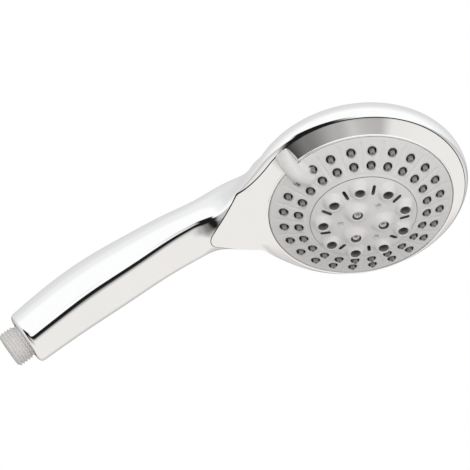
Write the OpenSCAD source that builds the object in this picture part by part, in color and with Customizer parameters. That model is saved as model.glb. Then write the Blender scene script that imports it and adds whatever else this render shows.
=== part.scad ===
// Handheld shower head with a turning spray face.
// Origin: centre of the inlet's end face. +Z runs up the handle, and the head sprays towards -Y.
// The head has its own frame: its origin is the centre of the spray face's edge circle, its Z is the
// spray direction and its Y points away from the handle.

/* [Overall] */
// Diameter of the head over the rear shell
head_d = 121.4; // [106:0.2:146]
// Height of the head's centre above the inlet's end face
head_z = 200.7; // [185:0.1:241]
// Distance of the head's centre in front of the inlet axis
head_y = 65.1; // [58:0.1:78]
// Angle of the spray direction below the horizontal
head_tilt = 25.3; // [21:0.1:30]
// Depth of the head behind the edge of the spray face
head_depth = 32; // [31:0.5:40]

/* [Shells] */
// Wall thickness of the chromed shells
shell_wall = 2.2; // [1.8:0.1:2.8]
// Width of the chromed border around the spray face
border_w = 9.7; // [8:0.1:12]
// Slope of the chromed border, drop over its width
border_drop = 3.8; // [3:0.1:5]
// Distance from the head's centre to the centre of the front cover's round tip
tip_reach = 80; // [74:0.5:96]
// Radius of the front cover's round tip
tip_r = 5; // [4:0.5:8]
// Gap along the seam between the two shells
seam_gap = 0.2; // [0.1:0.05:0.4]
// Gap around parts that turn past a fixed part
turn_gap = 0.4; // [0.3:0.05:0.8]

/* [Handle] */
// Diameter of the handle's foot, just above its rounded lip
foot_d = 32; // [30:0.1:36]
// Width of the handle at the grip
grip_d = 34.8; // [30:0.1:40]
// Width of the handle's waist
waist_d = 33; // [29:0.1:37]
// Width of the handle where it meets the head
neck_d = 40; // [35:0.1:44]
// Share by which the handle's depth falls below its width at the neck
neck_flat = 0.2; // [0.1:0.01:0.3]
// Distance from the head's centre back to the neck section
neck_reach = 71.5; // [62:0.5:88]
// Depth of the neck's centre behind the edge of the spray face
neck_depth = 22.5; // [20:0.5:26]

/* [Spray face] */
// Number of nozzle columns
columns = 24; // [18:2:30]
// Diameter of a nozzle recess
recess_d = 5.1; // [4:0.1:5.6]
// Thickness of the spray face's skin
face_skin = 2.4; // [2:0.1:3]
// Number of dished jet holes in the centre disc
jets = 9; // [7:1:11]
// Height of the centre disc over its edge
disc_rise = 8.3; // [7:0.1:9.5]
// Width of the selector lever
lever_w = 6.6; // [5:0.1:8]
// Height of the selector lever over the face at its crest
lever_h = 7.5; // [6:0.1:9]

/* [Selector] */
// Number of spray stops
stops = 5; // [3:1:5]
// Angle between two stops
stop_angle = 30; // [24:1:30]
// Radius of the pivot post
post_r = 7; // [6:0.1:8.4]
// Radial running clearance on the pivot post
run_gap = 0.06; // [0.03:0.01:0.1]
// Radius of the diverter seal
seal_r = 6; // [5:0.1:7.2]
// Radius of the detent ball
ball_r = 2; // [1.6:0.1:2.4]

/* [Inlet] */
// Major diameter of the G1/2 thread
thread_d = 20.955; // [20.9:0.005:21]
// Pitch of the thread
thread_pitch = 1.814; // [1.7:0.002:1.9]
// Length of the thread
thread_len = 9.1; // [7:0.1:9.4]
// Distance that the inlet stands out of the handle
inlet_out = 11; // [10:0.1:14]
// Radius of the inlet's bore behind the flow restrictor
bore_r = 5.6; // [4.8:0.1:6.2]
// Outer radius of the water tube
tube_r = 6; // [5.2:0.1:6.4]
// Wall of the water tube
tube_wall = 1.2; // [1:0.1:1.8]

/* [Hidden] */
$fn = 64;

// Materials' colours
chrome = [0.88, 0.89, 0.90];
face_grey = [0.90, 0.89, 0.88];
rubber_grey = [0.42, 0.41, 0.40];
inlet_grey = [0.80, 0.79, 0.78];
engine_white = [0.93, 0.93, 0.90];
steel = [0.72, 0.73, 0.75];
seal_black = [0.12, 0.12, 0.12];
slide_gap = 0.1;
joint_gap = 0.05;

// Shell outline
head_r = head_d / 2;
face_r = head_r - border_w;
seam_share = 0.815;
crown_power = 3.2;
crown_depth = 9;
crown_rise = 6;
skirt_depth = 9.5;

// Dome of the spray face: a sphere of twice the face's radius
dome_r = 2 * face_r;
dome_low = sqrt(dome_r * dome_r - face_r * face_r);
function dome(r) = sqrt(dome_r * dome_r - r * r) - dome_low;
outer_ring_r = 0.851 * face_r;
inner_ring_r = 0.698 * face_r;
disc_r = 0.58 * face_r;
jet_ring_r = 0.777 * disc_r;
slot_ring_r = 0.755 * disc_r;
jet_angle = 91.5;
massage_angle = 71.5;
massage_ring_r = 0.341 * disc_r;
disc_base = dome(disc_r);
disc_skin = 2;
valley_rise = 0.61 * disc_rise;
disc_ceiling = disc_base + valley_rise - disc_skin;
function disc_height(r) = disc_base + disc_rise * sqrt(max(0, 1 - pow(r / disc_r, 2)));
nozzle_r = recess_d / 2 - 0.2;
nozzle_bore_r = 0.6;
jet_r = 2.6;
massage_r = 2.5;
jet_boss_r = 5.9;
massage_boss_r = 6.8;
boss_wall = 0.8;
pit_ring_r = 0.446 * disc_r;
pit_r = 1.6;
pit_depth = 1.4;
slot_len = 5.6;
slot_w = 1.7;
lever_angle = 210;
lever_in = inner_ring_r + 2.4;
lever_out = head_r - 0.5;

// Levels of the water engine, in the head's frame
plate_low = -5.8;
plate_high = -2.3;
engine_top = -6.3;
engine_lid = 3;
engine_low = -23.5;
engine_wall = 2.5;
engine_r = face_r - 6;
plate_r = face_r - 3.2;
chamber_r = disc_r + 0.6;
chamber_wall = 1.8;
post_top = plate_high + 0.3;
chamber_top = plate_high + 5.6;
seal_ring_r = 20;
seal_at = 150;
ball_ring_r = engine_r - 7.5;
ball_at = 30;
screw_ring_r = engine_r - 7.5;
screw_angles = [90, 210, 330];
screw_r = 1.5;
socket_depth = -17.6;
socket_len = 16;
axle_r = 1.2;
rotor_r = 0.72 * disc_r;
seal_travel = 0.4;
ball_rise = 0.6;

// Inlet levels
root_r = thread_d / 2 - 1.162;
barrel_r = thread_d / 2 - 0.35;
foot_floor = 4;
clip_z = inlet_out + foot_floor + 0.3;
clip_h = 1.2;
nipple_top = inlet_out + 25;
tube_start = inlet_out + 15;
tube_low = tube_start - 9;
seat_r = 7.3;

// Moves what it holds from the head's frame to the part's frame
module at_head() {
    translate([0, -head_y, head_z]) rotate([90 + head_tilt, 0, 0]) children();
}

// A point of the head's middle plane in the part's frame, as [y, z]
function from_head(y, z) = [
    -head_y - y * sin(head_tilt) - z * cos(head_tilt),
    head_z + y * cos(head_tilt) - z * sin(head_tilt)
];

function bezier(p, t) = pow(1 - t, 3) * p[0] + 3 * pow(1 - t, 2) * t * p[1]
    + 3 * (1 - t) * t * t * p[2] + pow(t, 3) * p[3];
function bezier_way(p, t) = 3 * pow(1 - t, 2) * (p[1] - p[0]) + 6 * (1 - t) * t * (p[2] - p[1])
    + 3 * t * t * (p[3] - p[2]);

// Joins closed rings of points, all of one size, into a solid
module loft(rings) {
    n = len(rings[0]);
    m = len(rings);
    sides = [for (i = [0:m - 2]) for (j = [0:n - 1])
        [i * n + j, (i + 1) * n + j, (i + 1) * n + (j + 1) % n, i * n + (j + 1) % n]];
    low = [[for (j = [0:n - 1]) j]];
    high = [[for (j = [n - 1:-1:0]) (m - 1) * n + j]];
    polyhedron(points = [for (ring = rings) for (p = ring) p], faces = concat(sides, low, high),
        convexity = 6);
}

// A ring around a point of the middle plane, square to the direction [dy, dz]. Power 2 is an ellipse, and
// a higher power squares its corners
function bulge(v, power) = sign(v) * pow(abs(v), 2 / power);
function ring_at(centre, way, half_x, half_n, n, power = 2) = let (u = way / norm(way))
    [for (j = [0:n - 1]) let (a = -360 * (j + 0.5) / n, s = half_n * bulge(sin(a), power))
        [half_x * bulge(cos(a), power), centre[0] - s * u[1], centre[1] + s * u[0]]];

// Coil spring standing on z = low, as one swept solid
module coil(r, wire_r, low, high, turns) {
    per_turn = 14;
    steps = turns * per_turn;
    sides = 8;
    climb = high - low - 2 * wire_r;
    loft([for (i = [0:steps]) let (a = 360 * i / per_turn, z = low + wire_r + climb * i / steps)
        [for (j = [0:sides - 1]) let (b = -360 * j / sides, q = r + wire_r * cos(b))
            [q * cos(a), q * sin(a), z + wire_r * sin(b)]]]);
}

module ring(outer, inner, low, high) {
    translate([0, 0, low]) difference() {
        cylinder(r = outer, h = high - low);
        translate([0, 0, -1]) cylinder(r = inner, h = high - low + 2);
    }
}

module o_ring(r, cord_r) {
    rotate_extrude() translate([r, 0]) circle(r = cord_r, $fn = 24);
}

// Outline of the front cover: an arc around the head, an arc around the tip, and their common tangents
module tear_drop(grow) {
    r1 = face_r + border_w * seam_share + grow;
    r2 = tip_r + grow;
    slope = asin((r1 - r2) / tip_reach);
    steps = 72;
    polygon(concat(
        [for (i = [0:steps]) let (a = -slope + i * (180 + 2 * slope) / steps) [r1 * cos(a), r1 * sin(a)]],
        [for (i = [0:12]) let (a = 180 + slope + i * (180 - 2 * slope) / 12)
            [r2 * cos(a), -tip_reach + r2 * sin(a)]]));
}

// Everything under the front surface of the cover, a surface of revolution
function front_drop(r) = border_drop * min(r - face_r, border_w) / (seam_share * border_w)
    + 0.2 * max(0, r - head_r);
module under_front(lower) {
    far = head_r * 2.4;
    rotate(1.3) rotate_extrude($fn = 80) polygon([[0, lower + 80], [0, -100], [far, -100],
        [far, -front_drop(far) - lower],
        [head_r, -front_drop(head_r) - lower], [face_r, -lower], [face_r - 2, -lower], [face_r - 2, lower + 80]]);
}

// Bowl of the rear shell, a crowned disc of revolution
module bowl(inset) {
    r = head_r - inset;
    deep = head_depth - crown_depth - inset;
    rotate_extrude($fn = 48) polygon(concat([[0, crown_rise]], [[r * 0.97, crown_rise]],
        [for (i = [0:8]) let (s = sin(i * 90 / 8), k = pow(s, 1.1))
            [r * pow(max(0, 1 - pow(k, crown_power)), 1 / crown_power), -crown_depth - deep * k]]));
}

neck_centre = from_head(-neck_reach, -neck_depth);
neck_way = [-sin(head_tilt), cos(head_tilt)];
spine = [[0, inlet_out], [5.2, inlet_out + 35], neck_centre - 38 * neck_way, neck_centre];
handle_steps = 12;
handle_sides = 24;
// Half width of the handle from its foot to the neck, a cubic through four named diameters
function handle_half(t) = let (a = 0.42, b = 0.8)
    foot_d / 2 * (t - a) * (t - b) * (t - 1) / (-a * b)
    + grip_d / 2 * t * (t - b) * (t - 1) / (a * (a - b) * (a - 1))
    + waist_d / 2 * t * (t - a) * (t - 1) / (b * (b - a) * (b - 1))
    + neck_d / 2 * t * (t - a) * (t - b) / ((1 - a) * (1 - b));
function handle_depth(t) = handle_half(t) * (1 - neck_flat * t * t);
module handle_bar(inset) {
    loft([for (i = [0:handle_steps]) let (t = i / handle_steps, half = handle_half(t) - inset)
        ring_at(bezier(spine, t), i == 0 ? [0, 1] : bezier_way(spine, t), half, handle_depth(t) - inset,
            handle_sides, 2 + 1.2 * t * t)]);
}
module neck_plate(inset) {
    loft([for (s = [-0.5, 1]) ring_at(neck_centre + s * neck_way, neck_way, neck_d / 2 - inset,
        handle_depth(1) - inset, handle_sides, 3.2)]);
}
module body(inset) {
    hull() {
        at_head() bowl(inset);
        neck_plate(inset);
    }
    handle_bar(inset);
}

module at_screws() {
    for (a = screw_angles) rotate(a) translate([screw_ring_r, 0, 0]) children();
}

// The shell's facets are stretched across X, so that the head measures exactly head_d
module rear_shell() {
    color(chrome) resize([head_d, 0, 0]) difference() {
        body(0);
        difference() {
            body(shell_wall);
            translate([-head_r, -head_r, inlet_out - 1]) cube([head_d, head_d, 1 + foot_floor]);
            at_head() at_screws() translate([0, 0, -head_depth]) cylinder(r = 4, h = head_depth + engine_low - 0.1);
        }
        at_head() difference() {
            translate([-head_d, -tip_reach - tip_r - 3, -skirt_depth - 8]) cube([2 * head_d, 3 * head_d, 80]);
            under_front(0);
        }
        at_head() translate([0, 0, -skirt_depth]) linear_extrude(skirt_depth + 20) tear_drop(seam_gap);
        at_head() at_screws() translate([0, 0, -28]) cylinder(r = screw_r + joint_gap, h = 10);
        cylinder(r = barrel_r + joint_gap, h = inlet_out + foot_floor + 1);
    }
}

// Stretched like the shell, so that the cover measures exactly twice its outline's radius
module front_cover() {
    color(chrome) resize([2 * (face_r + border_w * seam_share), 0, 0]) at_head() difference() {
        intersection() {
            under_front(0);
            translate([0, 0, -skirt_depth]) linear_extrude(skirt_depth + 10) tear_drop(0);
        }
        difference() {
            intersection() {
                under_front(shell_wall);
                translate([0, 0, -skirt_depth - 1]) linear_extrude(skirt_depth + 10) tear_drop(-shell_wall);
            }
            translate([0, 0, -skirt_depth + 3]) cylinder(r = face_r + 2, h = skirt_depth + 5);
        }
        translate([0, 0, -skirt_depth - 2]) cylinder(r = face_r, h = skirt_depth + 20);
    }
}

// Places its children at every nozzle of one ring
module at_ring(r, count, first) {
    for (k = [0:count - 1]) rotate(first + k * 360 / count) translate([r, 0, 0]) children();
}
module at_nozzles() {
    for (r = [outer_ring_r, inner_ring_r]) at_ring(r, columns, 180 / columns) children();
}

module dome_solid(inset) {
    translate([0, 0, -dome_low]) sphere(r = dome_r - inset, $fn = 128);
}

module spray_face() {
    edge_r = face_r - turn_gap;
    color(face_grey) at_head() difference() {
        intersection() {
            dome_solid(0);
            translate([0, 0, plate_low + 0.3]) cylinder(r = edge_r, h = 30);
        }
        intersection() {
            dome_solid(face_skin);
            translate([0, 0, plate_low - 1]) cylinder(r = edge_r - face_skin, h = 30);
        }
        translate([0, 0, -10]) cylinder(r = disc_r + slide_gap, h = 40);
        at_nozzles() cylinder(r = recess_d / 2, h = 30);
        rotate(lever_angle) translate([outer_ring_r - 2 - joint_gap, -1.5 - joint_gap, -1])
            cube([5 + 2 * joint_gap, 3 + 2 * joint_gap, 20]);
    }
}

// Side view of the lever: along the face, over the border and back along its crest
module lever_side() {
    crest = dome(outer_ring_r) + lever_h;
    under = turn_gap + 0.3;
    polygon([[lever_in, 0], [face_r - 1, 0], [face_r + 0.5, under], [lever_out - 1.2, under],
        [lever_out, under + 1.2], [lever_out - 0.2, crest - 3.2], [lever_out - 2.4, crest - 0.8],
        [lever_out - 6, crest], [outer_ring_r + 2, crest - 0.8], [outer_ring_r - 2, crest - 2.4],
        [lever_in, dome(lever_in) + 0.6]]);
}

module selector_lever() {
    color(face_grey) at_head() rotate(lever_angle) {
        difference() {
            translate([0, lever_w / 2, 0]) rotate([90, 0, 0]) linear_extrude(lever_w) lever_side();
            dome_solid(-joint_gap);
        }
        translate([outer_ring_r - 2, -1.5, 1]) cube([5, 3, dome(outer_ring_r) - 0.6]);
    }
}

module nozzle_mat() {
    mat_top = face_skin + slide_gap;
    mat_thick = 1.4;
    color(rubber_grey) at_head() difference() {
        union() {
            difference() {
                intersection() {
                    dome_solid(mat_top);
                    ring(face_r - turn_gap - face_skin - slide_gap, chamber_r, plate_high + slide_gap, 20);
                }
                dome_solid(mat_top + mat_thick);
                rotate(lever_angle) translate([outer_ring_r - 2.3, -1.8, -4]) cube([5.6, 3.6, 20]);
            }
            intersection() {
                at_nozzles() cylinder(r = nozzle_r, h = 30);
                difference() {
                    dome_solid(-0.3);
                    dome_solid(mat_top + mat_thick - 0.1);
                }
            }
        }
        at_nozzles() translate([0, 0, -5]) cylinder(r = nozzle_bore_r, h = 40);
    }
}

module disc_profile(inset) {
    r = disc_r - slide_gap - inset;
    rise = valley_rise - inset;
    polygon(concat([[0, -4]], [[r, -4]], [[r, disc_base]],
        [for (i = [1:9]) let (a = i * 10) [r * cos(a), disc_base + rise * sin(a)]]));
}

module oval_hole(long, wide, h) {
    for (s = [-1, 1]) translate([s * (long - wide) / 2, 0, 0]) cylinder(r = wide / 2, h = h);
    translate([-(long - wide) / 2, -wide / 2, 0]) cube([long - wide, wide, h]);
}

// Conical boss that stands on the disc round each opening, up to a given height
module boss(foot_r, neck_r, top) {
    translate([0, 0, disc_base]) cylinder(r1 = foot_r, r2 = neck_r, h = top - disc_base);
}

module centre_disc() {
    color(face_grey) at_head() {
        difference() {
            union() {
                rotate_extrude() disc_profile(0);
                at_ring(jet_ring_r, jets, jet_angle) boss(jet_boss_r, jet_r + boss_wall, disc_height(jet_ring_r));
                at_ring(massage_ring_r, 3, massage_angle)
                    boss(massage_boss_r, massage_r + boss_wall, disc_height(massage_ring_r));
            }
            rotate_extrude() disc_profile(disc_skin);
            translate([0, 0, -10]) cylinder(r = disc_r + 1, h = 10 + chamber_top + turn_gap);
            at_ring(jet_ring_r, jets, jet_angle) translate([0, 0, 5]) cylinder(r = jet_r + joint_gap, h = 30);
            at_ring(slot_ring_r, jets, jet_angle + 180 / jets) translate([0, 0, 5]) oval_hole(slot_len, slot_w, 30);
            at_ring(massage_ring_r, 3, massage_angle) translate([0, 0, 5])
                cylinder(r = massage_r + joint_gap, h = 30);
            at_ring(pit_ring_r, 3, massage_angle + 60) translate([0, 0, disc_base + valley_rise - pit_depth])
                cylinder(r = pit_r, h = 9);
        }
        ring(3, axle_r + joint_gap, disc_base + 1.3, disc_ceiling + 0.2);
    }
}

module jet_inserts() {
    color(face_grey) at_head() at_ring(jet_ring_r, jets, jet_angle)
        ring(jet_r, 1.5, disc_base - 0.5, disc_height(jet_ring_r) - 0.6);
}

module massage_nozzles() {
    color(face_grey) at_head() at_ring(massage_ring_r, 3, massage_angle)
        ring(massage_r, 1.2, disc_ceiling - 1.6, disc_height(massage_ring_r) + 0.4);
}

module turbine_plate() {
    color(engine_white) at_head() difference() {
        cylinder(r = chamber_r - 2 * slide_gap - 1, h = 2);
        translate([0, 0, -1]) cylinder(r = axle_r + joint_gap, h = 4);
        at_ring(rotor_r * 0.7, 6, 0) translate([0, 0, -1]) rotate([35, 0, 0])
            cylinder(r = 1.6, h = 12, center = true);
    }
}

module turbine_axle() {
    color(steel) at_head() cylinder(r = axle_r, h = disc_ceiling - 0.3);
}

module massage_turbine() {
    low = 2.6;
    vane_top = low + 4;
    color(engine_white) at_head() difference() {
        union() {
            translate([0, 0, low]) cylinder(r = 3.4, h = disc_base - low + 1);
            for (k = [0:7]) rotate(k * 45) translate([2, -0.6, low]) cube([rotor_r - 2, 1.2, 4]);
            translate([0, 0, vane_top - 0.5]) linear_extrude(1.6) difference() {
                circle(r = rotor_r);
                translate([-rotor_r - 1, -2 * rotor_r]) square([2 * rotor_r + 2, 2 * rotor_r - 3]);
            }
        }
        cylinder(r = axle_r + run_gap, h = disc_base + 6);
    }
}

module port_plate() {
    color(engine_white) at_head() difference() {
        union() {
            translate([0, 0, plate_low]) cylinder(r = plate_r - 0.2, h = plate_high - plate_low);
            ring(chamber_r - slide_gap, chamber_r - slide_gap - chamber_wall + 1, plate_high - 0.5, chamber_top);
        }
        translate([0, 0, plate_low - 1]) cylinder(r = post_r + run_gap, h = 10);
        for (k = [0:stops - 1]) {
            rotate(seal_at - k * stop_angle) translate([seal_ring_r, 0, plate_low - 1]) cylinder(r = 3.4, h = 10);
            rotate(ball_at - k * stop_angle) translate([ball_ring_r, 0, plate_low - ball_r + ball_rise + 0.1])
                sphere(r = ball_r + 0.15);
        }
    }
}

module pivot_washer() {
    color(steel) at_head() ring(post_r + 2.5, 2.1, post_top, post_top + 0.8);
}

module pivot_screw() {
    color(steel) at_head() {
        translate([0, 0, post_top - 12]) cylinder(r = 1.9, h = 13);
        translate([0, 0, post_top + 0.8]) difference() {
            cylinder(r = 3.8, h = 0.9);
            translate([-3, -0.5, 0.5]) cube([6, 1, 1]);
        }
    }
}

module pivot_seal() {
    color(seal_black) at_head() translate([0, 0, plate_low - 2.2]) o_ring(post_r + 1.05, 0.95);
}

module engine_cover() {
    low = engine_top - engine_lid;
    color(engine_white) at_head() difference() {
        translate([0, 0, low]) cylinder(r = engine_r, h = engine_lid);
        translate([0, 0, low - 1]) cylinder(r = post_r + joint_gap, h = 10);
        translate([0, 0, engine_top - 2.8]) cylinder(r = post_r + 2.1, h = 5);
        rotate(seal_at) translate([seal_ring_r, 0, low - 1]) cylinder(r = seal_r + slide_gap, h = 10);
        rotate(ball_at) translate([ball_ring_r, 0, low - 1]) cylinder(r = ball_r + slide_gap, h = 10);
        at_screws() {
            translate([0, 0, low - 1]) cylinder(r = screw_r + slide_gap, h = 10);
            translate([0, 0, engine_top - 2]) cylinder(r = 3.2, h = 5);
        }
    }
}

module engine_body() {
    high = engine_top - engine_lid - joint_gap;
    spring_low = plate_low - 13.6;
    color(engine_white) at_head() difference() {
        union() {
            difference() {
                translate([0, 0, engine_low]) cylinder(r = engine_r, h = high - engine_low);
                translate([0, 0, engine_low + engine_wall]) cylinder(r = engine_r - engine_wall, h = 40);
            }
            translate([0, 0, engine_low]) cylinder(r = post_r, h = post_top - engine_low);
            at_screws() translate([0, 0, engine_low]) cylinder(r = 4.4, h = high - engine_low);
            rotate(ball_at) translate([ball_ring_r, 0, engine_low]) cylinder(r = 4, h = high - engine_low);
            rotate(seal_at) translate([seal_ring_r, 0, 0]) ring(seal_r + 1.6, 3, engine_low, spring_low);
            translate([0, -engine_r + 2, socket_depth]) rotate([90, 0, 0]) cylinder(r = tube_r + 2, h = socket_len - 2);
        }
        translate([0, -engine_r - 1, socket_depth]) rotate([90, 0, 0])
            cylinder(r = tube_r + slide_gap, h = socket_len);
        translate([0, -engine_r + 6, socket_depth]) rotate([90, 0, 0]) cylinder(r = tube_r - tube_wall, h = 10);
        translate([0, -engine_r - 6, socket_depth]) rotate([90, 0, 0]) cylinder(r = tube_r + 1.5, h = 2.2);
        translate([0, 0, post_top - 13]) cylinder(r = 1.9 + joint_gap, h = 20);
        at_screws() translate([0, 0, engine_low - 1]) cylinder(r = screw_r + slide_gap, h = 30);
        rotate(ball_at) translate([ball_ring_r, 0, engine_low + 4]) cylinder(r = ball_r + slide_gap, h = 30);
    }
}

module engine_screws() {
    color(steel) at_head() at_screws() {
        translate([0, 0, -27]) cylinder(r = screw_r, h = 27 + engine_top - 1.8);
        translate([0, 0, engine_top - 1.9]) difference() {
            cylinder(r = 2.9, h = 1.5);
            translate([-2.2, -0.4, 0.8]) cube([4.4, 0.8, 2]);
        }
    }
}

module seal_cup() {
    color(seal_black) at_head() rotate(seal_at) translate([seal_ring_r, 0, 0])
        ring(seal_r, 3.2, plate_low - 5, plate_low - 0.2);
}

module seal_spring() {
    color(steel) at_head() rotate(seal_at) translate([seal_ring_r, 0, 0])
        coil(seal_r - 1.4, 0.45, plate_low - 13.5, plate_low - 5.1 - seal_travel, 4);
}

module detent_ball() {
    color(steel) at_head() rotate(ball_at) translate([ball_ring_r, 0, plate_low - 0.2 - ball_r]) sphere(r = ball_r);
}

module detent_spring() {
    color(steel) at_head() rotate(ball_at) translate([ball_ring_r, 0, 0])
        coil(ball_r - 0.45, 0.3, engine_low + 4.1, plate_low - 0.4 - 2 * ball_r, 6);
}

tube_end = from_head(-engine_r - 1.5, socket_depth);
tube_bend_low = [0, nipple_top + 1];
tube_bend_high = tube_end - (socket_len + 1) * neck_way;
tube_spine = [tube_bend_low, tube_bend_low + [0, 40], tube_bend_high - 40 * neck_way, tube_bend_high];
tube_steps = 20;
function tube_rings(r) = concat([ring_at([0, tube_low], [0, 1], r, r, 20)],
    [for (i = [0:tube_steps]) let (t = i / tube_steps)
        ring_at(bezier(tube_spine, t), bezier_way(tube_spine, t), r, r, 20)],
    [ring_at(tube_end, neck_way, r, r, 20)]);
// The tube's skin runs up its outside and back down its bore
module water_tube() {
    outside = tube_rings(tube_r);
    bore = tube_rings(tube_r - tube_wall);
    rings = concat(outside, [for (i = [len(bore) - 1:-1:0]) bore[i]]);
    n = len(rings[0]);
    m = len(rings);
    color(engine_white) polyhedron(points = [for (r = rings) for (p = r) p], faces = [
        for (i = [0:m - 1]) for (j = [0:n - 1])
            [i * n + j, (i + 1) % m * n + j, (i + 1) % m * n + (j + 1) % n, i * n + (j + 1) % n]]);
}

module tube_seals() {
    color(seal_black) {
        translate([0, 0, tube_start + 2.1]) o_ring(tube_r + 0.8, 0.7);
        at_head() translate([0, -engine_r - 7.1, socket_depth]) rotate([90, 0, 0]) o_ring(tube_r + 0.8, 0.65);
    }
}

module inlet_nipple() {
    crest = 0.9;
    color(inlet_grey) difference() {
        union() {
            cylinder(r = root_r, h = nipple_top);
            for (z = [0:thread_pitch:thread_len]) translate([0, 0, z]) cylinder(r = thread_d / 2, h = crest);
            translate([0, 0, thread_len + 0.6]) cylinder(r = barrel_r, h = nipple_top - thread_len - 0.6);
        }
        translate([0, 0, -1]) cylinder(r = bore_r, h = tube_low + 1);
        translate([0, 0, -1]) cylinder(r = seat_r, h = 8.2);
        translate([0, 0, tube_low - 0.2]) cylinder(r = tube_r + slide_gap, h = 40);
        translate([0, 0, tube_start + 1]) cylinder(r = tube_r + 1.6, h = 2.2);
        ring(20, barrel_r - 1.5, clip_z - joint_gap, clip_z + clip_h + joint_gap);
        ring(20, barrel_r - 1.4, inlet_out + 1.1, inlet_out + 3);
    }
}

module nipple_seal() {
    color(seal_black) translate([0, 0, inlet_out + 2.05]) o_ring(barrel_r - 0.72, 0.66);
}

module nipple_clip() {
    color(steel) difference() {
        ring(barrel_r + 1.8, barrel_r - 1.4, clip_z, clip_z + clip_h);
        translate([-3, 0, clip_z - 1]) cube([6, 30, 4]);
    }
}

module flow_restrictor() {
    color(engine_white) difference() {
        translate([0, 0, 3.2]) cylinder(r = seat_r - slide_gap, h = 3.8);
        at_ring(4, 6, 0) cylinder(r = 0.9, h = 10);
        translate([0, 0, 2]) cylinder(r = 1.6, h = 3);
    }
}

module inlet_screen() {
    color(steel) difference() {
        translate([0, 0, 1.4]) cylinder(r = seat_r - slide_gap, h = 1.2);
        for (x = [-4.5:1.5:4.5]) for (y = [-4.5:1.5:4.5])
            if (norm([x, y]) < bore_r) translate([x - 0.45, y - 0.45, 0]) cube([0.9, 0.9, 4]);
    }
}

rear_shell();
front_cover();
spray_face();
selector_lever();
nozzle_mat();
centre_disc();
jet_inserts();
massage_nozzles();
turbine_plate();
massage_turbine();
turbine_axle();
port_plate();
pivot_screw();
pivot_washer();
pivot_seal();
engine_cover();
engine_body();
engine_screws();
seal_cup();
seal_spring();
detent_ball();
detent_spring();
water_tube();
tube_seals();
inlet_nipple();
nipple_seal();
nipple_clip();
flow_restrictor();
inlet_screen();
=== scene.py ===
import math

import bpy
import numpy as np
from mathutils import Matrix, Vector


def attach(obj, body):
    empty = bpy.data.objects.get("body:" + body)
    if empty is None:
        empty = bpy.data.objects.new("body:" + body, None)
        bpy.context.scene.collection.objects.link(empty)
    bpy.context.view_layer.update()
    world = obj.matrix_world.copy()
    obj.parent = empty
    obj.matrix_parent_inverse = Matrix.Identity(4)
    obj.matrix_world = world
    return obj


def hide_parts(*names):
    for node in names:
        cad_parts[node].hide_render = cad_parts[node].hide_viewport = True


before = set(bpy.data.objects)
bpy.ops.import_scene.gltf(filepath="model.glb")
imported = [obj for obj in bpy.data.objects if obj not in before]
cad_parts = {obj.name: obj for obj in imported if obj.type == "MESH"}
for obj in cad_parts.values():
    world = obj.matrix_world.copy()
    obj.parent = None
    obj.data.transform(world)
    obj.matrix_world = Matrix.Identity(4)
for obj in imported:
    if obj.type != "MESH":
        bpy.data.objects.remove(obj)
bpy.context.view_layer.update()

# ---------------------------------------------------------------------------------------------------------
# Camera
# A long lens, level with the handle's foot and looking a little upwards, rolled so that the handle lies
# across the picture.
# ---------------------------------------------------------------------------------------------------------
view_right = Vector((0.3094, -0.5035, 0.8067)).normalized()
view_back = Vector((-0.6903, -0.7024, -0.1737)).normalized()
view_up = view_back.cross(view_right)
camera_data = bpy.data.cameras.new("camera")
camera_data.sensor_width = 36
camera_data.lens = 142.3
camera_data.clip_end = 50
camera = bpy.data.objects.new("camera", camera_data)
camera.matrix_world = Matrix((view_right, view_up, view_back)).transposed().to_4x4()
camera.location = (-0.7150, -0.7548, -0.0413)
bpy.context.scene.collection.objects.link(camera)
bpy.context.scene.camera = camera

# ---------------------------------------------------------------------------------------------------------
# Studio
# A white tent over a pale floor, a little warmer and greyer in its lower half. A dark gap at its seam draws
# the streak in the handle, and its open left side darkens the chrome border beside the lever.
# ---------------------------------------------------------------------------------------------------------
bpy.context.scene.view_settings.view_transform = "Standard"
tent_up = (-0.6541, 0.5031, 0.5649)


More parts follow.
